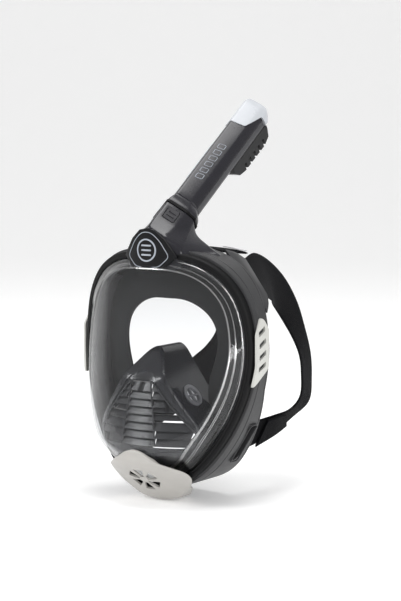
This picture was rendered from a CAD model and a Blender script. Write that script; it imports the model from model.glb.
"""Looks of the full face snorkel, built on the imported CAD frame.

Lengths in this file are millimetres in the row frame (lens towards -Y, +Z up) and become metres
when a mesh is made. Left and right in names are as seen from the front.
"""
from math import cos, hypot, pi, radians, sin, sqrt

import bmesh
import bpy
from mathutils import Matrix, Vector


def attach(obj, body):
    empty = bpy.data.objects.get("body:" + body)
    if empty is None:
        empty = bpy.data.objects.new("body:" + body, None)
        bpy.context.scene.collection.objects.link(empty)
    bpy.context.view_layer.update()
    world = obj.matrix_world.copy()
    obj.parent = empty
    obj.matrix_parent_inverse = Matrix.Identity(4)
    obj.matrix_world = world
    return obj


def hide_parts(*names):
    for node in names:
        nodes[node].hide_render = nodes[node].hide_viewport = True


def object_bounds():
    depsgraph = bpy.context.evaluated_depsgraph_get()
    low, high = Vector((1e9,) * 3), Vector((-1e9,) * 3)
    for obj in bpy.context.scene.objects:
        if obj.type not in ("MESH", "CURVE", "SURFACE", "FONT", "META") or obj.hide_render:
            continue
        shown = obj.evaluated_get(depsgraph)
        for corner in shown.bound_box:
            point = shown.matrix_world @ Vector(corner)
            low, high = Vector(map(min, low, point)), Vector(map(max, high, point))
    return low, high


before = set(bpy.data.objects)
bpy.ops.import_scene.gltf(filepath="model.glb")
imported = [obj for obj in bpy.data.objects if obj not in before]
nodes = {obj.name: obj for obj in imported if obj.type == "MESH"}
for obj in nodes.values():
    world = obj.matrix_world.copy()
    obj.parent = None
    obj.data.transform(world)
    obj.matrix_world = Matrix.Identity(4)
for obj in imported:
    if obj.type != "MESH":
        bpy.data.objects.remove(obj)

MM = 0.001
cad_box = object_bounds()

# ---------------------------------------------------------------- shapes shared with the frame
RIM = [(0, 74), (28, 73), (52, 66.5), (72, 52), (86, 28), (92, -8), (89, -43), (79, -75),
       (64, -103), (45, -126), (24, -139), (0, -143.5)]
BOW_RADIUS = 203
LENS_BOW_RADIUS = 135
POCKET_BOW_RADIUS = 90
RIM_FRONT = -22
LENS_FRONT = -39
POCKET_FRONT = -35.7
LENS_LEAN = radians(6.8)
TRIM_DEPTH = 9
FRAME_WIDTH = 9
FRAME_START = RIM_FRONT + TRIM_DEPTH + 0.1
CHIN_SLOPE = radians(46.7)
CHIN_RADIUS = 96
CHIN_POINT = (0, -28.5, -146.5)
DRAIN_DEPTH = 6
TUBE_LEAN = radians(54.5)
TUBE_FOOT = (0, 17.5, 113)


def mirrored(half):
    """A half outline and its mirror image, as one closed loop."""
    return list(half) + [(-p[0], *p[1:]) for p in reversed(half) if abs(p[0]) > 1e-6]


def smooth_run(points, per, closed=True):
    """A smooth line through the points, with per steps between neighbours."""
    count = len(points)
    out = []
    for i in range(count if closed else count - 1):
        picks = [i - 1, i, i + 1, i + 2]
        picks = [j % count for j in picks] if closed else [min(max(j, 0), count - 1) for j in picks]
        a, b, c, d = (points[j] for j in picks)
        for j in range(per):
            t = j / per
            out.append(tuple(0.5 * (2 * q + (r - p) * t + (2 * p - 5 * q + 4 * r - s) * t * t
                                    + (3 * q - p - 3 * r + s) * t ** 3) for p, q, r, s in zip(a, b, c, d)))
    if not closed:
        out.append(tuple(points[-1]))
    return out


def grown(loop, grow):
    """A closed (x, z) loop moved outward by grow."""
    out = []
    for i, (x, z) in enumerate(loop):
        (x0, z0), (x1, z1) = loop[i - 1], loop[(i + 1) % len(loop)]
        run = hypot(x1 - x0, z1 - z0) or 1
        out.append((x + grow * (z0 - z1) / run, z + grow * (x1 - x0) / run))
    return out


RIM_LOOP = smooth_run(mirrored(RIM), 9)


def bow(x, z, front, lean=0.0, radius=BOW_RADIUS):
    """Depth of a bowed surface at (x, z)."""
    return front + radius + (z * sin(lean) - sqrt(radius ** 2 - x * x)) / cos(lean)


def chin(x, z, inset):
    """Depth of the chin's leaning cylinder at (x, z)."""
    middle_y = CHIN_POINT[1] + CHIN_RADIUS * cos(CHIN_SLOPE)
    middle_z = CHIN_POINT[2] + CHIN_RADIUS * sin(CHIN_SLOPE)
    reach = sqrt(max((CHIN_RADIUS - inset) ** 2 - x * x, 1))
    return middle_y - (reach + (z - middle_z) * sin(CHIN_SLOPE)) / cos(CHIN_SLOPE)


def later(a, b, soft):
    """The larger of two depths, with a rounded change between them."""
    return 0.5 * (a + b + sqrt((a - b) ** 2 + soft * soft))


def lens_face(x, z):
    return later(bow(x, z, LENS_FRONT, LENS_LEAN, LENS_BOW_RADIUS), chin(x, z, DRAIN_DEPTH), 5)


def tube_point(x, s, n):
    """A point across, along and towards the keel of the tube."""
    up, back = cos(TUBE_LEAN), sin(TUBE_LEAN)
    return (x, TUBE_FOOT[1] + s * back - n * up, TUBE_FOOT[2] + s * up + n * back)


def between(value, table):
    """Straight-line reading of a table of (key, value) pairs with rising keys."""
    if value <= table[0][0]:
        return table[0][1]
    for (a, p), (b, q) in zip(table, table[1:]):
        if value <= b:
            return p + (q - p) * (value - a) / (b - a)
    return table[-1][1]


def rounded(corners, radius, steps=4):
    """A closed loop of corners with each one rounded."""
    out = []
    for i, corner in enumerate(corners):
        here = Vector(corner)
        back, ahead = Vector(corners[i - 1]) - here, Vector(corners[(i + 1) % len(corners)]) - here
        start = here + back.normalized() * min(radius, back.length * 0.48)
        end = here + ahead.normalized() * min(radius, ahead.length * 0.48)
        for j in range(steps + 1):
            t = j / steps
            out.append(tuple((1 - t) ** 2 * start + 2 * t * (1 - t) * here + t * t * end))
    return out


# ---------------------------------------------------------------- mesh helpers
def skin(rings, around=True, start_cap=False, end_cap=False):
    """Vertices and faces of a surface over rings with equal counts."""
    count = len(rings[0])
    verts = [p for ring in rings for p in ring]
    faces = []
    for r in range(len(rings) - 1):
        for k in range(count if around else count - 1):
            a, b = r * count + k, r * count + (k + 1) % count
            faces.append((a, b, b + count, a + count))
    if start_cap:
        faces.append(tuple(reversed(range(count))))
    if end_cap:
        faces.append(tuple(range(len(verts) - count, len(verts))))
    return verts, faces


def piece(name, shape, material, body="mask", stands_for=(), sharp=35, thick=0.0):
    """A finished mesh object that rides on a body and stands for CAD nodes."""
    verts, faces = shape
    mesh = bpy.data.meshes.new(name)
    mesh.from_pydata([(x * MM, y * MM, z * MM) for x, y, z in verts], [], faces)
    bm = bmesh.new()
    bm.from_mesh(mesh)
    bmesh.ops.remove_doubles(bm, verts=bm.verts, dist=1e-6)
    bmesh.ops.recalc_face_normals(bm, faces=bm.faces)
    bm.to_mesh(mesh)
    bm.free()
    obj = bpy.data.objects.new(name, mesh)
    bpy.context.scene.collection.objects.link(obj)
    mesh.materials.append(material)
    mesh.shade_smooth()
    mesh.set_sharp_from_angle(angle=radians(sharp))
    if thick:
        wall = obj.modifiers.new("wall", "SOLIDIFY")
        wall.thickness = thick * MM
        wall.offset = -1
    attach(obj, body)
    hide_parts(*stands_for)
    return obj


def add_uv(obj, coordinates):
    """A UV map from a function of each loop's vertex index."""
    layer = obj.data.uv_layers.new(name="run")
    for loop in obj.data.loops:
        layer.data[loop.index].uv = coordinates[loop.vertex_index]


# ---------------------------------------------------------------- materials
def shader(name):
    """A new node material and its Principled shader."""
    material = bpy.data.materials.new(name)
    material.use_nodes = True
    return material, material.node_tree.nodes["Principled BSDF"]


def node(material, kind, **inputs):
    """A node with some of its inputs set by name."""
    made = material.node_tree.nodes.new(kind)
    for key, value in inputs.items():
        made.inputs[key.replace("_", " ")].default_value = value
    return made


def join(material, source, target):
    material.node_tree.links.new(source, target)


def moulded(name, colour, rough, grain=900, bump=0.15, mottle=0.12, edge=0.5, coat=0.0, specular=0.5):
    """Moulded plastic: fine grain, patchy roughness and small rounded edges."""
    material, main = shader(name)
    place = node(material, "ShaderNodeTexCoord").outputs["Object"]
    patches = node(material, "ShaderNodeTexNoise", Scale=60.0, Detail=4.0, Roughness=0.6)
    join(material, place, patches.inputs["Vector"])
    tone = node(material, "ShaderNodeMapRange", From_Min=0.3, From_Max=0.7, To_Min=1 - mottle,
                To_Max=1 + mottle)
    join(material, patches.outputs["Fac"], tone.inputs["Value"])
    tint = node(material, "ShaderNodeVectorMath")
    tint.operation = "SCALE"
    tint.inputs[0].default_value = colour
    join(material, tone.outputs["Result"], tint.inputs["Scale"])
    join(material, tint.outputs["Vector"], main.inputs["Base Color"])
    gloss = node(material, "ShaderNodeMapRange", From_Min=0.3, From_Max=0.7, To_Min=rough * 0.85,
                 To_Max=rough * 1.15)
    join(material, patches.outputs["Fac"], gloss.inputs["Value"])
    join(material, gloss.outputs["Result"], main.inputs["Roughness"])
    grains = node(material, "ShaderNodeTexNoise", Scale=float(grain), Detail=2.0)
    join(material, place, grains.inputs["Vector"])
    relief = node(material, "ShaderNodeBump", Strength=bump, Distance=0.00012)
    join(material, grains.outputs["Fac"], relief.inputs["Height"])
    if edge:
        softened = node(material, "ShaderNodeBevel", Radius=edge * MM)
        softened.samples = 4
        join(material, softened.outputs["Normal"], relief.inputs["Normal"])
    join(material, relief.outputs["Normal"], main.inputs["Normal"])
    main.inputs["Specular IOR Level"].default_value = specular
    main.inputs["Coat Weight"].default_value = coat
    main.inputs["Coat Roughness"].default_value = 0.08
    return material


def clear_lens(name, tint, least, rough):
    """Thin clear polycarbonate: a faint tint, and reflections that grow from least towards grazing angles."""
    material, main = shader(name)
    tree = material.node_tree
    tree.nodes.remove(main)
    see = node(material, "ShaderNodeBsdfTransparent", Color=tint)
    shine = node(material, "ShaderNodeBsdfAnisotropic", Color=(1, 1, 1, 1), Roughness=rough)
    facing = node(material, "ShaderNodeLayerWeight", Blend=0.5)
    rise = node(material, "ShaderNodeMath")
    rise.operation = "POWER"
    rise.inputs[1].default_value = 3.6
    share = node(material, "ShaderNodeMapRange", To_Min=least, To_Max=0.9)
    mix = node(material, "ShaderNodeMixShader")
    join(material, facing.outputs["Facing"], rise.inputs[0])
    join(material, rise.outputs["Value"], share.inputs["Value"])
    join(material, share.outputs["Result"], mix.inputs["Fac"])
    join(material, see.outputs["BSDF"], mix.inputs[1])
    join(material, shine.outputs["BSDF"], mix.inputs[2])
    join(material, mix.outputs["Shader"], tree.nodes["Material Output"].inputs["Surface"])
    return material


def strap_cloth(name, colour):
    """Dense knitted strap fabric: ribs along the run, a soft sheen and a stitched line near each edge."""
    material, main = shader(name)
    run = node(material, "ShaderNodeUVMap").outputs["UV"]
    parts = node(material, "ShaderNodeSeparateXYZ")
    join(material, run, parts.inputs["Vector"])
    knit = node(material, "ShaderNodeTexWave", Scale=0.42, Distortion=1.2, Detail=2.0)
    knit.bands_direction = "X"
    join(material, run, knit.inputs["Vector"])
    fuzz = node(material, "ShaderNodeTexNoise", Scale=2.2, Detail=3.0)
    join(material, run, fuzz.inputs["Vector"])
    height = node(material, "ShaderNodeMath")
    height.operation = "ADD"
    join(material, knit.outputs["Fac"], height.inputs[0])
    join(material, fuzz.outputs["Fac"], height.inputs[1])
    relief = node(material, "ShaderNodeBump", Strength=0.5, Distance=0.0003)
    join(material, height.outputs["Value"], relief.inputs["Height"])
    join(material, relief.outputs["Normal"], main.inputs["Normal"])
    tone = node(material, "ShaderNodeMapRange", To_Min=0.6, To_Max=1.5)
    join(material, fuzz.outputs["Fac"], tone.inputs["Value"])
    tint = node(material, "ShaderNodeVectorMath")
    tint.operation = "SCALE"
    tint.inputs[0].default_value = colour
    join(material, tone.outputs["Result"], tint.inputs["Scale"])
    join(material, tint.outputs["Vector"], main.inputs["Base Color"])
    main.inputs["Roughness"].default_value = 0.8
    main.inputs["Sheen Weight"].default_value = 0.015
    main.inputs["Sheen Roughness"].default_value = 0.4
    main.inputs["Specular IOR Level"].default_value = 0.06
    return material


CLEAR = clear_lens("clear_polycarbonate", (0.955, 0.96, 0.965, 1), 0.02, 0.03)
EDGE = clear_lens("clear_polycarbonate_edge", (0.9, 0.91, 0.92, 1), 0.3, 0.16)
BAND = moulded("soft_band_black", (0.006, 0.006, 0.0065), 0.5, grain=1500, specular=0.15)
FRAME_GREY = moulded("frame_satin_grey", (0.035, 0.035, 0.037), 0.42, grain=1300, bump=0.25, specular=0.35)
SILICONE = moulded("silicone_matt", (0.026, 0.026, 0.027), 0.6, grain=700, bump=0, edge=0, specular=0.2)
POCKET_GLOSS = moulded("pocket_gloss", (0.018, 0.018, 0.022), 0.22, grain=500, bump=0, edge=0, specular=0.6)
GLOSS = moulded("gloss_black", (0.013, 0.0125, 0.017), 0.19, grain=500, bump=0.03, specular=0.45)
BUTTON = moulded("button_satin", (0.016, 0.015, 0.02), 0.3, grain=900, specular=0.5)
BADGE = moulded("badge_black", (0.004, 0.004, 0.005), 0.18, grain=400, bump=0.02, specular=0.25)
PRINT = moulded("grey_print", (0.36, 0.39, 0.44), 0.5, grain=1500, bump=0.05, edge=0)
RING = moulded("ring_black", (0.003, 0.003, 0.0035), 0.45, specular=0.15)
VENT = moulded("vent_black", (0.008, 0.008, 0.009), 0.38, grain=900, specular=0.4)
INNER = moulded("inner_plastic", (0.03, 0.03, 0.033), 0.3, grain=900, bump=0, edge=0, specular=0.5)
RUBBER = moulded("seal_rubber", (0.01, 0.01, 0.011), 0.65, grain=1800, specular=0.2)
FOAM = moulded("float_foam", (0.75, 0.75, 0.72), 0.7, grain=2500, bump=0.5)
CAP_WHITE = moulded("cap_white", (0.5, 0.52, 0.55), 0.3, grain=900, bump=0.05, mottle=0.02)
CHIN_GREY = moulded("chin_pale_grey", (0.46, 0.445, 0.42), 0.34, grain=900, bump=0.08, mottle=0.03)
SEAT = moulded("valve_seat", (0.16, 0.16, 0.17), 0.3, grain=900)
FLAP = moulded("valve_silicone", (0.8, 0.81, 0.82), 0.35, grain=900)
TRIM_WHITE = moulded("side_trim_white", (0.55, 0.55, 0.52), 0.35, grain=900, bump=0.05, mottle=0.03)
CLOTH = strap_cloth("strap_knit", (0.0035, 0.0035, 0.0045))
PATCH = moulded("patch_white", (0.62, 0.62, 0.64), 0.6, grain=2000, bump=0.2)

FINISH = {
    "lens": CLEAR, "rim_trim": BAND, "frame": FRAME_GREY, "skirt": SILICONE, "pocket_skirt": SILICONE,
    "pocket_frame": INNER, "exhaust_duct_left": INNER, "exhaust_duct_right": INNER, "crown_housing": GLOSS,
    "tube_front_shell": GLOSS, "tube_rear_shell": GLOSS, "tube_plug": GLOSS, "tube_divider": INNER,
    "release_button_left": BUTTON, "release_button_right": BUTTON, "badge_cover": BADGE,
    "badge_emblem": PRINT, "collar_ring": RING, "vent_housing": VENT, "float_guide": INNER,
    "float_seal": RUBBER, "float": FOAM, "plug_o_ring": RUBBER, "top_cap": CAP_WHITE, "chin_cover": CHIN_GREY,
    "drain_seat": SEAT, "drain_valve": FLAP, "intake_seat_left": SEAT, "intake_seat_right": SEAT,
    "intake_flap_left": FLAP, "intake_flap_right": FLAP, "side_trim_left": TRIM_WHITE,
    "side_trim_right": TRIM_WHITE, "strap_arm_left": CLOTH, "strap_arm_right": CLOTH, "strap_crown": CLOTH,
    "strap_tab_left": CLOTH, "strap_tab_right": CLOTH, "strap_mark": PATCH, "strap_anchor_left": FRAME_GREY,
    "strap_anchor_right": FRAME_GREY,
}
for name, material in FINISH.items():
    nodes[name].data.materials.clear()
    nodes[name].data.materials.append(material)


# ---------------------------------------------------------------- lens
LENS_RINGS = ((0.6, 0.0), (1.3, 0.12), (1.6, 0.18), (3.2, 0.38), (5.2, 0.60), (5.6, 0.638), (7.4, 0.80),
              (8.8, 0.915), (9.8, 0.97), (11.2, 0.995), (13.0, 1.0))
# Faces at the rim, on the wall and along the crease, where thick clear plastic glints.
EDGE_RINGS = (1, 5, 8)


def make_lens():
    """Dome lens: a wall that leans in from the rim, a tight crease, and a bowed face."""
    rings = [[(x, bow(x, z, RIM_FRONT + TRIM_DEPTH - 0.5), z) for x, z in grown(RIM_LOOP, -0.4)]]
    for inset, share in LENS_RINGS:
        ring = []
        for x, z in grown(RIM_LOOP, -inset):
            rim, face = bow(x, z, RIM_FRONT - 0.8), lens_face(x, z)
            ring.append((x, rim + (face - rim) * share, z))
        rings.append(ring)
    last = grown(RIM_LOOP, -13.0)
    for j in range(1, 27):
        t = 1 - j / 27
        ring = [(x * t, -35 + (z + 35) * t) for x, z in last]
        rings.append([(x, lens_face(x, z), z) for x, z in ring])
    verts, faces = skin(rings)
    middle = len(verts)
    verts.append((0, lens_face(0, -35), -35))
    count = len(last)
    base = middle - count
    faces += [(base + k, base + (k + 1) % count, middle) for k in range(count)]
    obj = piece("lens_dome", (verts, faces), CLEAR, stands_for=["lens"],
                thick=2.2, sharp=60)
    obj.data.materials.append(EDGE)
    for ring in EDGE_RINGS:
        for k in range(count):
            obj.data.polygons[ring * count + k].material_index = 1
    return obj


# ---------------------------------------------------------------- soft band
def rim_sweep(profile, keep=lambda x, z: True):
    """Sweep a closed profile of (outward, depth behind the rim's front) along the kept part of the rim."""
    count = len(RIM_LOOP)
    kept = [k for k in range(count) if keep(*RIM_LOOP[k])]
    whole = len(kept) == count
    if not whole:
        first = next(k for k in kept if (k - 1) % count not in kept)
        kept = [(first + j) % count for j in range(len(kept))]
    rows = [grown(RIM_LOOP, out) for out, depth in profile]
    rings = []
    for k in kept:
        ring = []
        for (out, depth), row in zip(profile, rows):
            x, z = row[k]
            ring.append((x, bow(x, z, RIM_FRONT) + depth, z))
        rings.append(ring)
    if whole:
        rings.append(rings[0])
    return skin(rings, start_cap=not whole, end_cap=not whole)


def make_band():
    profile = [(0.1, 8.8), (0.1, 0.2), (0.5, -0.6), (1.4, -0.95), (2.4, -0.95), (2.9, -0.45), (3.3, -0.45),
               (3.8, -0.9), (5.0, -0.75), (6.0, -0.1), (6.45, 1.0), (6.45, 8.8)]
    return piece("rim_band", rim_sweep(profile, lambda x, z: z < 0 or abs(x) > 25), BAND,
                 stands_for=["rim_trim"], sharp=50)


# ---------------------------------------------------------------- frame
FRAME_WALL = 5
SLOT_MIDDLE = (69, 29, -104)
SLOT_RUN = (-0.538, 0, -0.843)      # along the slot
SLOT_OUT = (0.843, 0, -0.538)       # out of the frame's side


def frame_rear(z):
    """Depth of the frame's rear edge at height z."""
    return 30 if z > -50 else 30 + 28 * (-50 - z) / 100


def slot_loop(side, out, length, width):
    """The strap slot's rounded outline on a plane that lies out from the slot's middle."""
    corners = []
    for a, b in ((-1, -1), (1, -1), (1, 1), (-1, 1)):
        run, depth = a * length / 2, b * width / 2
        x, y, z = (m + run * r + out * o for m, r, o in zip(SLOT_MIDDLE, SLOT_RUN, SLOT_OUT))
        corners.append((side * x, y + depth, z))
    return rounded(corners, 3.5, 4)


def make_frame():
    """Stiff frame: a flange under the soft band, and a grooved side wall with two strap slots."""
    rings = []
    loops = {}
    for k, (rim_x, rim_z) in enumerate(RIM_LOOP):
        start, end = bow(rim_x, rim_z, FRAME_START), frame_rear(rim_z)
        wall = end - start
        profile = [(-8, start + 3.4), (-8, start), (8.0, start), (8.8, start + 0.4), (9, start + 1.4),
                   (9, start + 0.26 * wall), (8.4, start + 0.26 * wall + 0.7),
                   (8.4, start + 0.26 * wall + 1.6), (9, start + 0.26 * wall + 2.3), (9, end - 4.2),
                   (8.5, end - 3.6), (8.5, end - 2.8), (8.9, end - 2.3), (8.9, end - 0.8), (8.2, end),
                   (FRAME_WIDTH - FRAME_WALL + 0.5, end), (FRAME_WIDTH - FRAME_WALL, end - 0.6),
                   (FRAME_WIDTH - FRAME_WALL, start + 3.5)]
        ring = []
        for out, y in profile:
            if out not in loops:
                loops[out] = grown(RIM_LOOP, out)
            x, z = loops[out][k]
            ring.append((x, y, z))
        rings.append(ring)
    rings.append(rings[0])
    obj = piece("frame_shell", skin(rings), FRAME_GREY, stands_for=["frame"], sharp=30)
    carve(obj, [prism(lambda out, side=side: slot_loop(side, out, 44, 11), -14, 16) for side in (-1, 1)], 30)
    for side, tag in ((-1, "left"), (1, "right")):
        line_strip(f"slot_rim_{tag}", slot_loop(side, 4.2, 45.5, 12.5), 0.8, FRAME_GREY, closed=True)


# ---------------------------------------------------------------- crown housing
COLLAR = [(0, 20), (17, 5), (22.5, -3), (20, -13), (11, -18)]
TUBE = [(0, 17), (13.5, 5.5), (17, -1), (15.5, -11), (8.5, -16)]
BORE = [(0, 6.4), (9.6, 6.4), (13, 0), (13, -6), (8.5, -10.4)]
SPIGOT = [(0, 5.5), (9, 5.5), (12, 0.5), (12, -5.5), (8.5, -9.5)]
# Half rings of the housing below the collar: keel, front edge, side, rear side, rear.
CROWN_ROWS = [[(0, -5, 121.5), (17, 3.5, 109.5), (22.8, 10.5, 103.5), (21.5, 21, 98.5), (12, 26.5, 95)],
              [(0, -14.5, 115), (16.8, -6, 103.5), (24, 4, 98), (24, 19.5, 95.5), (14, 27, 92.5)],
              [(0, -24, 108), (16.5, -17, 98.5), (26.5, -4, 92.5), (29, 18, 91.5), (18, 27.5, 89)],
              [(0, -28.2, 102.5), (17, -25.6, 94), (29.5, -14, 86), (36, 17.5, 87), (28, 27.5, 84.5)],
              [(0, -28.2, 90), (18, -25.4, 84), (31.5, -19, 79), (45, 16.5, 81.5), (40, 27, 79.5)],
              [(0, -28.2, 76), (18, -25.4, 72), (31, -19.5, 70), (54, 15, 76), (50, 26, 74.5)],
              [(0, -28.2, 62.5), (16, -26, 62.5), (26, -22, 63), (50, 14, 70), (46, 24, 69)]]


def section(half, s, grow=0.0, radius=2.2, steps=4):
    """A rounded section of the tube at s, as row points."""
    loop = grown([(x, n) for x, n in mirrored(half)], grow) if grow else mirrored(half)
    return [tube_point(x, s, n) for x, n in rounded2(loop, radius, steps)]


def rounded2(loop, radius, steps):
    """A closed loop of 2D corners with each one rounded."""
    return [(p[0], p[1]) for p in rounded([(x, n, 0) for x, n in loop], radius, steps)]


def prism(outline, low, high, name="cutter"):
    """A closed block between two heights of an outline given by a function of height."""
    verts, faces = skin([outline(low), outline(high)], start_cap=True, end_cap=True)
    mesh = bpy.data.meshes.new(name)
    mesh.from_pydata([(x * MM, y * MM, z * MM) for x, y, z in verts], [], faces)
    bm = bmesh.new()
    bm.from_mesh(mesh)
    bmesh.ops.recalc_face_normals(bm, faces=bm.faces)
    bm.to_mesh(mesh)
    bm.free()
    obj = bpy.data.objects.new(name, mesh)
    bpy.context.scene.collection.objects.link(obj)
    return obj


def carve(obj, cutters, sharp=35):
    """Cut blocks out of a piece and keep only the result."""
    for cutter in cutters:
        cut = obj.modifiers.new("cut", "BOOLEAN")
        cut.operation = "DIFFERENCE"
        cut.solver = "EXACT"
        cut.object = cutter
    bpy.context.view_layer.update()
    done = bpy.data.meshes.new_from_object(obj.evaluated_get(bpy.context.evaluated_depsgraph_get()))
    obj.modifiers.clear()
    obj.data = done
    done.shade_smooth()
    done.set_sharp_from_angle(angle=radians(sharp))
    for cutter in cutters:
        bpy.data.objects.remove(cutter)


def button_cutter(side):
    """The pocket of a release button, square to its inclined collar face."""
    out = (15 / 22.67, 17 / 22.67)      # (x, n) of the face's normal
    along_face = (17 / 22.67, -15 / 22.67)
    middle = (8.5, 12.5)

    def outline(depth):
        corners = []
        for ds, dw in ((-8, -6.5), (8, -6.5), (8, 6.5), (-8, 6.5)):
            x = middle[0] + dw * along_face[0] - depth * out[0]
            n = middle[1] + dw * along_face[1] - depth * out[1]
            corners.append(tube_point(side * x, -15 + ds, n))
        return rounded(corners, 2.2, 3)
    return prism(outline, 3.6, -3)


def make_crown():
    """Collar, socket and wings in one housing, with a pocket for each release button."""
    corners = [[tube_point(x, -3, n) for x, n in COLLAR]] + CROWN_ROWS
    paths = [smooth_run([row[i] for row in corners], 5, closed=False) for i in range(5)]
    rings = [section(BORE, -28, radius=4), section(BORE, -3, radius=4), section(COLLAR, -3, -0.5)]
    for step in range(len(paths[0])):
        rings.append(rounded(mirrored([path[step] for path in paths]), 2.4, 4))
    obj = piece("crown_shell", skin(rings, start_cap=True, end_cap=True), GLOSS,
                stands_for=["crown_housing"])
    carve(obj, [button_cutter(-1), button_cutter(1)])
    return obj


def line_strip(name, points, half, material, body="mask", closed=False):
    """A thin raised line along row points, as a curve turned into a mesh."""
    curve = bpy.data.curves.new(name, "CURVE")
    curve.dimensions = "3D"
    curve.bevel_depth = half * MM
    curve.bevel_resolution = 2
    spline = curve.splines.new("POLY")
    spline.points.add(len(points) - 1)
    for target, p in zip(spline.points, points):
        target.co = (p[0] * MM, p[1] * MM, p[2] * MM, 1)
    spline.use_cyclic_u = closed
    shell = bpy.data.objects.new(name, curve)
    bpy.context.scene.collection.objects.link(shell)
    bpy.context.view_layer.update()
    mesh = bpy.data.meshes.new_from_object(shell)
    bpy.data.objects.remove(shell)
    obj = bpy.data.objects.new(name, mesh)
    bpy.context.scene.collection.objects.link(obj)
    mesh.materials.clear()
    mesh.materials.append(material)
    mesh.shade_smooth()
    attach(obj, body)
    return obj


def make_badge_border():
    """A thin printed line that follows the badge's shield outline."""
    half = [(0, 99.6), (6.5, 98.2), (14.5, 91), (23.5, 76), (13, 66)]
    loop = rounded2(mirrored(half), 4, 5)
    radius, front = 62, -31.5
    points = [(x, front + radius - sqrt(radius ** 2 - x * x) - 0.05, z) for x, z in loop]
    line_strip("badge_border", points, 0.35, PRINT, closed=True)


# ---------------------------------------------------------------- snorkel
SEAM = ((-2.2, 0), (-2.6, 0.55), (-3.0, 0))     # level towards the keel and depth of the groove


def with_seam(loop):
    """The tube's section with a narrow groove where its two shells meet."""
    out = []
    for i, (x, n) in enumerate(loop):
        x1, n1 = loop[(i + 1) % len(loop)]
        out.append((x, n))
        if (n - SEAM[1][0]) * (n1 - SEAM[1][0]) < 0:
            for level, dip in SEAM if n > n1 else SEAM[::-1]:
                t = (level - n) / (n1 - n)
                at = x + (x1 - x) * t
                out.append((at - dip * (1 if at > 0 else -1), level))
    return out


def tube_ring(half, s, grow=0.0):
    """A rounded section of the tube at s, with its shell seams."""
    loop = rounded2(grown(mirrored(half), grow) if grow else mirrored(half), 2.4, 5)
    return [tube_point(x, s, n) for x, n in with_seam(loop)]


def make_tube():
    rings = [tube_ring(TUBE, 14.15, -1.4), tube_ring(TUBE, 14.15, -0.5), tube_ring(TUBE, 14.6, -0.05),
             tube_ring(TUBE, 15.2)]
    rings += [tube_ring(TUBE, s) for s in (22, 40, 60, 80, 100, 118)]
    rings += [tube_ring(TUBE, s, -0.1) for s in (128, 136, 144, 152, 160)]
    rings.append(tube_ring(TUBE, 160, -1.8))
    return piece("tube_shell", skin(rings, start_cap=True, end_cap=True), GLOSS, "snorkel",
                 ["tube_front_shell", "tube_rear_shell", "tube_divider"], sharp=28)


def make_plug():
    """The flared foot of the tube and its spigot, open at the bottom."""
    def spigot(s, grow=0.0):
        return section(SPIGOT, s, grow, 3.5, 4)

    rings = [spigot(6, -2.5), spigot(-26, -2.5), spigot(-26, -0.6), spigot(-25.4), spigot(-17),
             spigot(-17, -1.2), spigot(-14.4, -1.2), spigot(-14.4), spigot(0.35), section(COLLAR, 0.35, -0.5),
             section(COLLAR, 0.8), section(COLLAR, 2.6)]
    for j in range(1, 7):
        t = (j / 6) ** 1.4
        blend = [(a[0] + (b[0] - a[0]) * t, a[1] + (b[1] - a[1]) * t) for a, b in zip(COLLAR, TUBE)]
        rings.append(section(blend, 2.6 + 9.4 * j / 6, 0.35 * t))
    rings += [section(TUBE, 13.2, 0.35), section(TUBE, 13.9, 0.0), section(TUBE, 13.9, -1.6)]
    return piece("tube_foot", skin(rings, start_cap=True, end_cap=True), GLOSS, "snorkel", ["tube_plug"],
                 sharp=28)


def cap_start(n):
    """Where the white cap begins along the tube, by height towards the keel."""
    return between(n, [(-24, 166.5), (1, 160.5), (9, 131.5), (24, 134.5)])


def make_cap():
    """White dry-top cap with a zigzag lower edge and a rounded tip."""
    base = rounded2(grown(mirrored(TUBE), 0.75), 2.6, 6)
    rings = []
    for share, grow in ((0.0, -0.06), (0.0, 0.0), (0.25, 0.0), (0.5, 0.0), (0.75, 0.0), (1.0, 0.0)):
        ring = []
        for x, n in base:
            s = cap_start(n)
            ring.append(tube_point(x * (1 + grow), s + (168 - s) * share, n * (1 + grow)))
        rings.append(ring)
    for s, size, lift in ((171, 0.965, 0.0), (174, 0.90, 0.2), (176.4, 0.80, 0.4), (178, 0.66, 0.5),
                          (178.8, 0.45, 0.5), (179, 0.2, 0.5)):
        rings.append([tube_point(x * size, s - 0.12 * abs(n) * size, n * size + lift) for x, n in base])
    return piece("dry_cap", skin(rings, start_cap=True, end_cap=True), CAP_WHITE, "snorkel", ["top_cap"],
                 sharp=28)


def make_tube_print():
    """A plain row of outlined slanted bars printed on both inclined faces of the tube."""
    (x0, n0), (x1, n1) = TUBE[0], TUBE[1]
    run = hypot(x1 - x0, n1 - n0)
    across, out = ((x1 - x0) / run, (n1 - n0) / run), ((n0 - n1) / run, (x1 - x0) / run)
    for side, tag in ((-1, "left"), (1, "right")):
        for k in range(6):
            loop = []
            for ds, w in ((0, 5.2), (6.2, 5.2), (8.2, 12.2), (2.0, 12.2)):
                x = x0 + across[0] * w + out[0] * 0.02
                n = n0 + across[1] * w + out[1] * 0.02
                loop.append(tube_point(side * x, 44 + 9.6 * k + ds, n))
            line_strip(f"tube_print_{tag}_{k + 1}", rounded(loop, 1.2, 3), 0.26, PRINT, "snorkel", True)


# ---------------------------------------------------------------- chin cover
CHIN_COVER = [(0, -107), (9, -109), (22, -117), (44, -128), (46, -136), (40, -146), (22, -160), (0, -163)]
GRILLE_Z = -139.5


def cover_face(x, z):
    return later(bow(x, z, LENS_FRONT - 2.6, LENS_LEAN, LENS_BOW_RADIUS + 2.6), chin(x, z, 0), 4)


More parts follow.
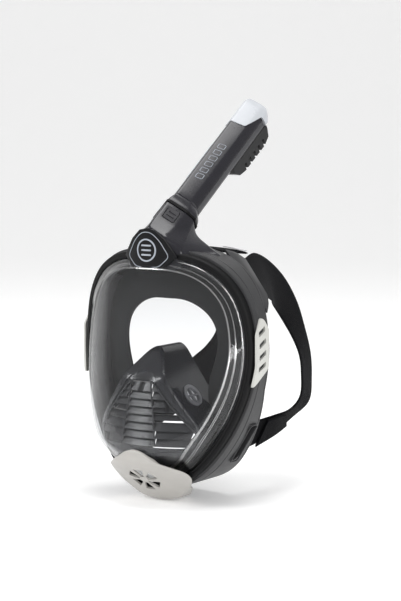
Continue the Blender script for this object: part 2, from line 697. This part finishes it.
def grille_cutter(angle, reach, half):
    """A slot that runs outward from the grille's middle, square to the chin's slope."""
    slope_x, slope_up = (1, 0, 0), (0, -sin(CHIN_SLOPE), cos(CHIN_SLOPE))
    out = (0, -cos(CHIN_SLOPE), -sin(CHIN_SLOPE))
    middle = (0, cover_face(0, GRILLE_Z), GRILLE_Z)

    def outline(depth):
        corners = []
        for r, w in ((reach[0], -half[0]), (reach[1], -half[1]), (reach[1], half[1]), (reach[0], half[0])):
            u, v = r * cos(angle) - w * sin(angle), r * sin(angle) + w * cos(angle)
            corners.append(tuple(m + u * a + v * b - depth * o
                                 for m, a, b, o in zip(middle, slope_x, slope_up, out)))
        return rounded(corners, 0.9, 2)
    return prism(outline, 8, -4)


def make_chin_cover():
    outline = rounded2(mirrored(CHIN_COVER), 5, 6)
    rings = []
    for back in (1.0, 0.66, 0.33, 0.06):
        ring = []
        for x, z in outline:
            stop = between(z,
                           [(-163, 13), (-148, 10), (-140, -16), (-134, -20), (-120, lens_face(x, z) + 0.3)])
            stop -= max(abs(x) - 20, 0)
            front = cover_face(x, z) + 1.4
            ring.append((x, front + max(stop - front, 0.6) * back, z))
        rings.append(ring)
    for size, lift in ((0.992, 0.75), (0.975, 0.25), (0.94, 0.0)):
        rings.append([(x * size, cover_face(x * size, -136 + (z + 136) * size) + lift,
                       -136 + (z + 136) * size)
                      for x, z in outline])
    for j in range(1, 14):
        size = 0.94 * (1 - j / 14)
        rings.append([(x * size, cover_face(x * size, -136 + (z + 136) * size), -136 + (z + 136) * size)
                      for x, z in outline])
    verts, faces = skin(rings)
    middle, count = len(verts), len(outline)
    verts.append((0, cover_face(0, -136), -136))
    faces += [(middle - count + k, middle - count + (k + 1) % count, middle) for k in range(count)]
    obj = piece("chin_shell", (verts, faces), CHIN_GREY, stands_for=["chin_cover"],
                thick=2.0)
    cutters = [grille_cutter(radians(30 + 60 * k), (4.6, 16), (1.9, 5.6)) for k in range(6)]
    carve(obj, cutters, 40)
    return obj


# ---------------------------------------------------------------- mouth-and-nose pocket
POCKET = [(0, -11), (8, -15), (15, -25), (56, -83), (58, -94), (48, -112), (26, -126), (0, -130)]
FAN = [(0, -42), (12.5, -42), (55, -91), (47, -105), (0, -105)]
POCKET_MIDDLE = (0, -78)
POCKET_REAR = 24
VALVE_OUT = (0.8165, 0, 0.5774)     # square to the pocket's slanting side
VALVE_AT = (37.96, -9, -57.48)


def star(loop, count):
    """Points where evenly spaced rays from the pocket's middle meet a loop."""
    cx, cz = POCKET_MIDDLE
    out = []
    for i in range(count):
        dx, dz = sin(2 * pi * i / count), cos(2 * pi * i / count)
        for (x0, z0), (x1, z1) in zip(loop, loop[1:] + loop[:1]):
            ex, ez = x1 - x0, z1 - z0
            cross = dx * ez - dz * ex
            if abs(cross) < 1e-9:
                continue
            reach = ((x0 - cx) * ez - (z0 - cz) * ex) / cross
            along = ((x0 - cx) * dz - (z0 - cz) * dx) / cross
            if reach > 0 and -1e-9 <= along <= 1 + 1e-9:
                out.append((cx + reach * dx, cz + reach * dz))
                break
    return out


def pocket_front(x, z):
    """Front of the pocket: the face behind the lens, with a nose slope that runs back above it."""
    return later(fan_face(x, z), -41 + 0.935 * (z + 42), 3)


def round_cutter(middle, axis, radius, low, high):
    """A round cutter along an axis."""
    way = Vector(axis).normalized()
    across = way.orthogonal().normalized()
    third = way.cross(across)

    def outline(depth):
        return [tuple(Vector(middle) + way * depth + (across * cos(a) + third * sin(a)) * radius)
                for a in (2 * pi * k / 40 for k in range(40))]
    return prism(outline, low, high)


def make_pocket():
    """Glossy cup for mouth and nose, with a ribbed band around the fan's window."""
    outer = star(rounded2(mirrored(POCKET), 5, 5), 180)
    inner = star(rounded2(mirrored(FAN), 2, 3), 180)
    rings = []
    for share in (1.0, 0.8, 0.6, 0.4, 0.2, 0.0):
        ring = []
        for x, z in outer:
            edge = pocket_front(x, z) + 2.2
            ring.append((x, edge + max(POCKET_REAR - edge, 1) * share, z))
        rings.append(ring)
    for t, back in ((0.08, 0.7), (0.16, 0.1), (0.3, 0.0), (0.45, 0.0), (0.6, 0.0), (0.7, 0.1), (0.76, 1.3),
                    (1.0, 1.3)):
        ring = []
        for (x0, z0), (x1, z1) in zip(outer, inner):
            x, z = x0 + (x1 - x0) * t, z0 + (z1 - z0) * t
            ring.append((x, pocket_front(x, z) + back, z))
        rings.append(ring)
    obj = piece("pocket_cup", skin(rings), POCKET_GLOSS, stands_for=["pocket_skirt"],
                sharp=24, thick=1.9)
    drain_out = (0, -cos(CHIN_SLOPE), -sin(CHIN_SLOPE))
    drain_at = tuple(p + 10.5 * u - DRAIN_DEPTH * o
                     for p, u, o in zip(CHIN_POINT, (0, -sin(CHIN_SLOPE), cos(CHIN_SLOPE)), drain_out))
    cutters = [round_cutter(drain_at, drain_out, 12.2, -14, 2)]
    for side in (-1, 1):
        cutters.append(round_cutter((side * VALVE_AT[0], *VALVE_AT[1:]),
                                    (side * VALVE_OUT[0], 0, VALVE_OUT[2]), 9.6, -6, 4))
    carve(obj, cutters, 24)
    for side, tag in ((-1, "left"), (1, "right")):
        for k, share in enumerate((0.25, 0.47, 0.69)):
            x, z = side * (15 + 41 * share), -25 - 58 * share
            x1, z1 = side * (10 + 43 * (share + 0.13)), -42 - 49 * (share - 0.02)
            points = []
            for j in range(7):
                px, pz = x + (x1 - x) * 0.72 * j / 6, z + (z1 - z) * 0.72 * j / 6
                points.append((px, pocket_front(px, pz) + 0.1, pz))
            line_strip(f"pocket_line_{tag}_{k + 1}", points, 0.35, RING)


# ---------------------------------------------------------------- louvred fan over the pocket
def fan_face(x, z, back=0.0):
    return later(bow(x, z, POCKET_FRONT, LENS_LEAN, POCKET_BOW_RADIUS),
                 chin(x, z, DRAIN_DEPTH + 3.3), 3) + back


def slab(a, b, c, d, thick):
    """A tilted slat from four front corners, thickened towards the rear."""
    front = [a, b, c, d]
    rear = [(x, y + thick, z) for x, y, z in front]
    faces = [(0, 1, 2, 3), (7, 6, 5, 4)] + [(i, i + 4, (i + 1) % 4 + 4, (i + 1) % 4) for i in range(4)]
    return front + rear, faces


def fan_edges(panel, z):
    """Left and right x of a panel at height z: 0 is the middle one, and 1 the one at its right."""
    drop = (-43 - z) / 61
    inner = 11 + 8.5 * drop
    outer = 12.3 + 43 * (-42 - z) / 49 if z > -91 else 55 - 8 * (-91 - z) / 14
    return (-inner + 0.5, inner - 0.5) if panel == 0 else (inner + 0.7, max(outer - 1.2, inner + 0.8))


def make_fan():
    """Three panels of tilted slats between raised ribs."""
    verts, faces = [], []
    pitch = 7.4
    for panel, side in ((0, 1), (1, 1), (1, -1)):
        for k in range(8):
            top = -44.0 - pitch * k
            gap = 2.4 if panel == 1 and k in (3, 4) else -0.5
            low = max(top - pitch + gap, -104.5)
            (l0, r0), (l1, r1) = fan_edges(panel, top), fan_edges(panel, low)
            if r0 - l0 < 1 and r1 - l1 < 2:
                continue
            steps = 6
            for j in range(steps):
                t0, t1 = j / steps, (j + 1) / steps
                quad = []
                for l, r, z, t, back in ((l0, r0, top, t0, 4.0), (l0, r0, top, t1, 4.0),
                                         (l1, r1, low, t1, 0.2), (l1, r1, low, t0, 0.2)):
                    x = side * (l + (r - l) * t)
                    quad.append((x, fan_face(x, z, back), z))
                v, f = slab(*quad, 1.0)
                faces += [tuple(i + len(verts) for i in face) for face in f]
                verts += v
    obj = piece("fan_slats", (verts, faces), INNER, stands_for=["pocket_frame"],
                sharp=30)
    for side, tag in ((-1, "left"), (1, "right")):
        for x0, z0, x1, z1, name in ((11, -43, 19.5, -104, "inner"), (12.5, -42.5, 55, -91, "outer"),
                                     (55, -91, 47, -104.5, "lower")):
            points = []
            for j in range(13):
                x, z = side * (x0 + (x1 - x0) * j / 12), z0 + (z1 - z0) * j / 12
                points.append((x, fan_face(x, z, 0.9), z))
            line_strip(f"fan_rib_{name}_{tag}", points, 0.9, INNER)
    return obj


# ---------------------------------------------------------------- white side trims
SIDE_TRIM = [(15, 19), (4, 3), (4, -28), (1, -47), (7, -45), (25.5, -31), (27, 8), (21, 17)]


def side_x(z, out):
    """How far the frame's side reaches at height z, plus out."""
    return between(z, SIDE_TABLE) + out


SIDE_TABLE = sorted((z, x) for x, z in grown(RIM_LOOP, FRAME_WIDTH) if x > 60)


def make_side_trim(side, tag):
    """A slotted white plate that follows the frame's side."""
    outline = rounded2(SIDE_TRIM, 3, 4)
    rings = []
    for size, out in ((1.0, 0.1), (1.0, 1.9), (0.975, 2.4), (0.93, 2.5), (0.7, 2.5), (0.45, 2.5), (0.2, 2.5)):
        rings.append([(side * side_x(-12 + (z + 12) * size, out), 14 + (y - 14) * size, -12 + (z + 12) * size)
                      for y, z in outline])
    back = [(side * side_x(-12 + (z + 12) * size, 0.1), 14 + (y - 14) * size, -12 + (z + 12) * size)
            for size in (0.6, 0.2) for y, z in outline]
    count = len(outline)
    rings = [back[count:], back[:count]] + rings
    obj = piece(f"side_plate_{tag}", skin(rings, start_cap=True, end_cap=True), TRIM_WHITE,
                stands_for=[f"side_trim_{tag}"], sharp=40)
    cutters = []
    for z in (6, -5.2, -16.4, -27.6):
        def outline_at(x, z=z):
            corners = [(x, 8, z - 5), (x, 8, z - 0.2), (x, 19.6, z + 5), (x, 19.6, z + 0.2)]
            return rounded(corners, 1.2, 3)
        cutters.append(prism(outline_at, side * 80, side * 110))
    carve(obj, cutters, 40)
    return obj


# ---------------------------------------------------------------- harness
ARM_STATIONS = [((90, 42.5, 36), (52, 60.5, 70)), ((72, 82, 27), (42, 95, 73)),
                ((52, 115, 19), (38, 130, 62)), ((43, 138, 9), (36, 163, 42)), ((42, 152, -3), (36, 187, 16)),
                ((47.5, 160, -19), (39, 198, -12)), ((58, 156, -35), (46, 198, -38)),
                ((69, 142, -50), (54, 187, -62)), ((73, 134, -72), (60, 172, -84)),
                ((75, 112, -83), (63, 136, -95)), ((79, 74, -84), (66, 92, -106)),
                ((75.5, 53, -86), (58, 57, -116)), ((74.5, 38, -88), (57.4, 40, -114.4)),
                ((74.5, 27, -88), (57.4, 27, -114.4))]
TAB_STATIONS = [((80, 93.3, -85.7), (67.8, 114.3, -102.2)), ((81.8, 74, -85.7), (68.8, 92, -107.7)),
                ((79.7, 61, -87.3), (62.8, 65, -116.3))]
ANCHOR_STATIONS = [((97.2, 31, 22), (48, 31, 81)), ((95.5, 36, 29), (51.5, 45, 77)),
                   ((90.5, 41.8, 36.3), (52.5, 59.6, 70.4))]
ACROSS = 14


def band_mesh(name, stations, side, half_thick, stands_for, material=None):
    """A soft band through its stations, with rounded edges; returns the object."""
    inner = smooth_run([a for a, b in stations], 8, closed=False)
    outer = smooth_run([b for a, b in stations], 8, closed=False)
    rings, coordinates, travelled = [], [], 0.0
    for i, (a, b) in enumerate(zip(inner, outer)):
        a, b = Vector(a), Vector(b)
        j = min(max(i, 1), len(inner) - 2)
        run = (Vector(inner[j + 1]) + Vector(outer[j + 1])) - (Vector(inner[j - 1]) + Vector(outer[j - 1]))
        across = b - a
        normal = across.cross(run).normalized()
        if i:
            travelled += ((a + b) / 2 - before).length
        before = (a + b) / 2
        face, back = [], []
        for k in range(ACROSS + 1):
            t = 0.5 - 0.5 * cos(pi * k / ACROSS)
            edge = min(t, 1 - t) * across.length
            lift = half_thick * min(1.0, sqrt(max(edge, 0.0) / 1.6) * 0.9 + 0.1)
            at = a + across * t
            face.append((at + normal * lift, (t * across.length, travelled)))
            back.append((at - normal * lift, (t * across.length, travelled)))
        loop = face + back[::-1]
        rings.append([(side * p.x, p.y, p.z) for p, uv in loop])
        coordinates += [uv for p, uv in loop]
    obj = piece(name, skin(rings, start_cap=True, end_cap=True), material or CLOTH, stands_for=stands_for,
                sharp=60)
    if len(obj.data.vertices) == len(coordinates):
        add_uv(obj, coordinates)
    return obj


CROWN_FALL = radians(7)


def crown_height(x, y):
    return 83.2 - x * x / 424 - (y - 31) * sin(CROWN_FALL)


def make_crown_strap():
    """The head strap's top layer between the two arms, bowed over the head."""
    rings, coordinates = [], []
    for j in range(21):
        y = 31.2 + 59.6 * j / 20
        half = 43.2 - 6 * (j / 20) ** 1.5
        rim = min(1.0, sqrt(min(j, 20 - j) / 1.2) * 0.85 + 0.15)
        top, low = [], []
        for k in range(25):
            t = -cos(pi * k / 24)
            x = half * t
            edge = (1 - abs(t)) * half
            lift = 1.25 * min(rim, sqrt(edge / 1.6) * 0.9 + 0.1)
            z = crown_height(x, y)
            top.append(((x, y, z + lift), (x, y)))
            low.append(((x, y, z - lift), (x, y)))
        loop = top + low[::-1]
        rings.append([p for p, uv in loop])
        coordinates += [uv for p, uv in loop]
    obj = piece("crown_strap", skin(rings, start_cap=True, end_cap=True), CLOTH,
                stands_for=["strap_crown"], sharp=60)
    if len(obj.data.vertices) == len(coordinates):
        add_uv(obj, coordinates)
    return obj


def make_straps():
    for side, tag in ((-1, "left"), (1, "right")):
        band_mesh(f"arm_{tag}", ARM_STATIONS, side, 1.25, [f"strap_arm_{tag}"])
        band_mesh(f"tab_{tag}", TAB_STATIONS, side, 1.2, [f"strap_tab_{tag}"])
        band_mesh(f"anchor_{tag}", ANCHOR_STATIONS, side, 1.25, [f"strap_anchor_{tag}"], FRAME_GREY)
    make_crown_strap()


# ---------------------------------------------------------------- stage
VIEW_AZIMUTH = radians(34)
VIEW_ELEVATION = radians(6)
VIEW_DISTANCE = 1.845
PIXELS_PER_MM = 1.03
ORIGIN_PIXEL = (165.3, 332.3)
IMAGE = (401, 601)
LENS_MM = 113.8


def make_camera():
    a, e = VIEW_AZIMUTH, VIEW_ELEVATION
    right = Vector((cos(a), sin(a), 0))
    up = Vector((-sin(e) * sin(a), sin(e) * cos(a), cos(e)))
    towards = Vector((sin(a) * cos(e), -cos(a) * cos(e), sin(e)))
    shift_x = (IMAGE[0] / 2 - ORIGIN_PIXEL[0]) / PIXELS_PER_MM * MM
    shift_z = (ORIGIN_PIXEL[1] - IMAGE[1] / 2) / PIXELS_PER_MM * MM
    target = right * shift_x + up * shift_z
    camera = bpy.data.objects.new("camera", bpy.data.cameras.new("camera"))
    bpy.context.scene.collection.objects.link(camera)
    camera.location = target + towards * VIEW_DISTANCE
    camera.rotation_euler = (-towards).to_track_quat("-Z", "Y").to_euler()
    camera.data.lens = LENS_MM
    camera.data.sensor_width = 36
    camera.data.clip_end = 50
    bpy.context.scene.camera = camera


def lamp(name, place, aim, size, power, colour=(1, 1, 1)):
    light = bpy.data.lights.new(name, "AREA")
    light.shape = "RECTANGLE"
    light.size, light.size_y = size
    light.energy = power
    light.color = colour
    obj = bpy.data.objects.new(name, light)
    obj.location = place
    obj.rotation_euler = (Vector(aim) - Vector(place)).to_track_quat("-Z", "Y").to_euler()
    bpy.context.scene.collection.objects.link(obj)


def make_stage():
    """Pale floor that curves up into a backdrop behind the object, soft lamps and an even sky."""
    low = cad_box[0][2] / MM - 0.3
    away = Vector((-sin(VIEW_AZIMUTH), cos(VIEW_AZIMUTH)))
    side = Vector((away.y, -away.x))
    profile = [(-6000, 0)] + [(2600 + 1500 * sin(radians(q)), 1500 * (1 - cos(radians(q))))
                              for q in range(0, 91, 6)]
    profile.append((4100, 6000))
    rings = []
    for along, height in profile:
        rings.append([(along * away.x + w * side.x, along * away.y + w * side.y,
                       low + height) for w in (-7000, 7000)])
    verts, faces = skin(rings, around=False)
    mesh = bpy.data.meshes.new("backdrop")
    mesh.from_pydata([(x * MM, y * MM, z * MM) for x, y, z in verts], [], faces)
    mesh.shade_smooth()
    floor = bpy.data.objects.new("backdrop", mesh)
    bpy.context.scene.collection.objects.link(floor)
    paper = moulded("backdrop_paper", (0.9, 0.9, 0.9), 0.7, grain=300, bump=0.02, mottle=0.01, edge=0,
                    specular=0.1)
    paper.node_tree.nodes["Principled BSDF"].inputs["Emission Color"].default_value = (1, 1, 1, 1)
    paper.node_tree.nodes["Principled BSDF"].inputs["Emission Strength"].default_value = 0.2
    mesh.materials.append(paper)
    world = bpy.data.worlds.new("studio")
    world.use_nodes = True
    sky = world.node_tree.nodes["Background"]
    sky.inputs["Color"].default_value = (1, 1, 1, 1)
    sky.inputs["Strength"].default_value = 0.5
    bpy.context.scene.world = world
    lamp("key", (-1.3, -1.5, 1.3), (0, 0, 0), (0.9, 0.9), 24)
    lamp("side", (1.9, -0.5, 0.5), (0, 0, 0), (0.35, 1.8), 16)
    lamp("top", (0.1, 0.3, 2.0), (0, 0.05, 0), (1.2, 1.2), 25)
    bpy.context.scene.view_settings.view_transform = "Standard"


make_camera()
make_stage()
make_lens()
make_band()
make_frame()
make_crown()
make_badge_border()
make_tube()
make_plug()
make_cap()
make_tube_print()
make_chin_cover()
make_pocket()
make_fan()
make_side_trim(-1, "left")
make_side_trim(1, "right")
make_straps()
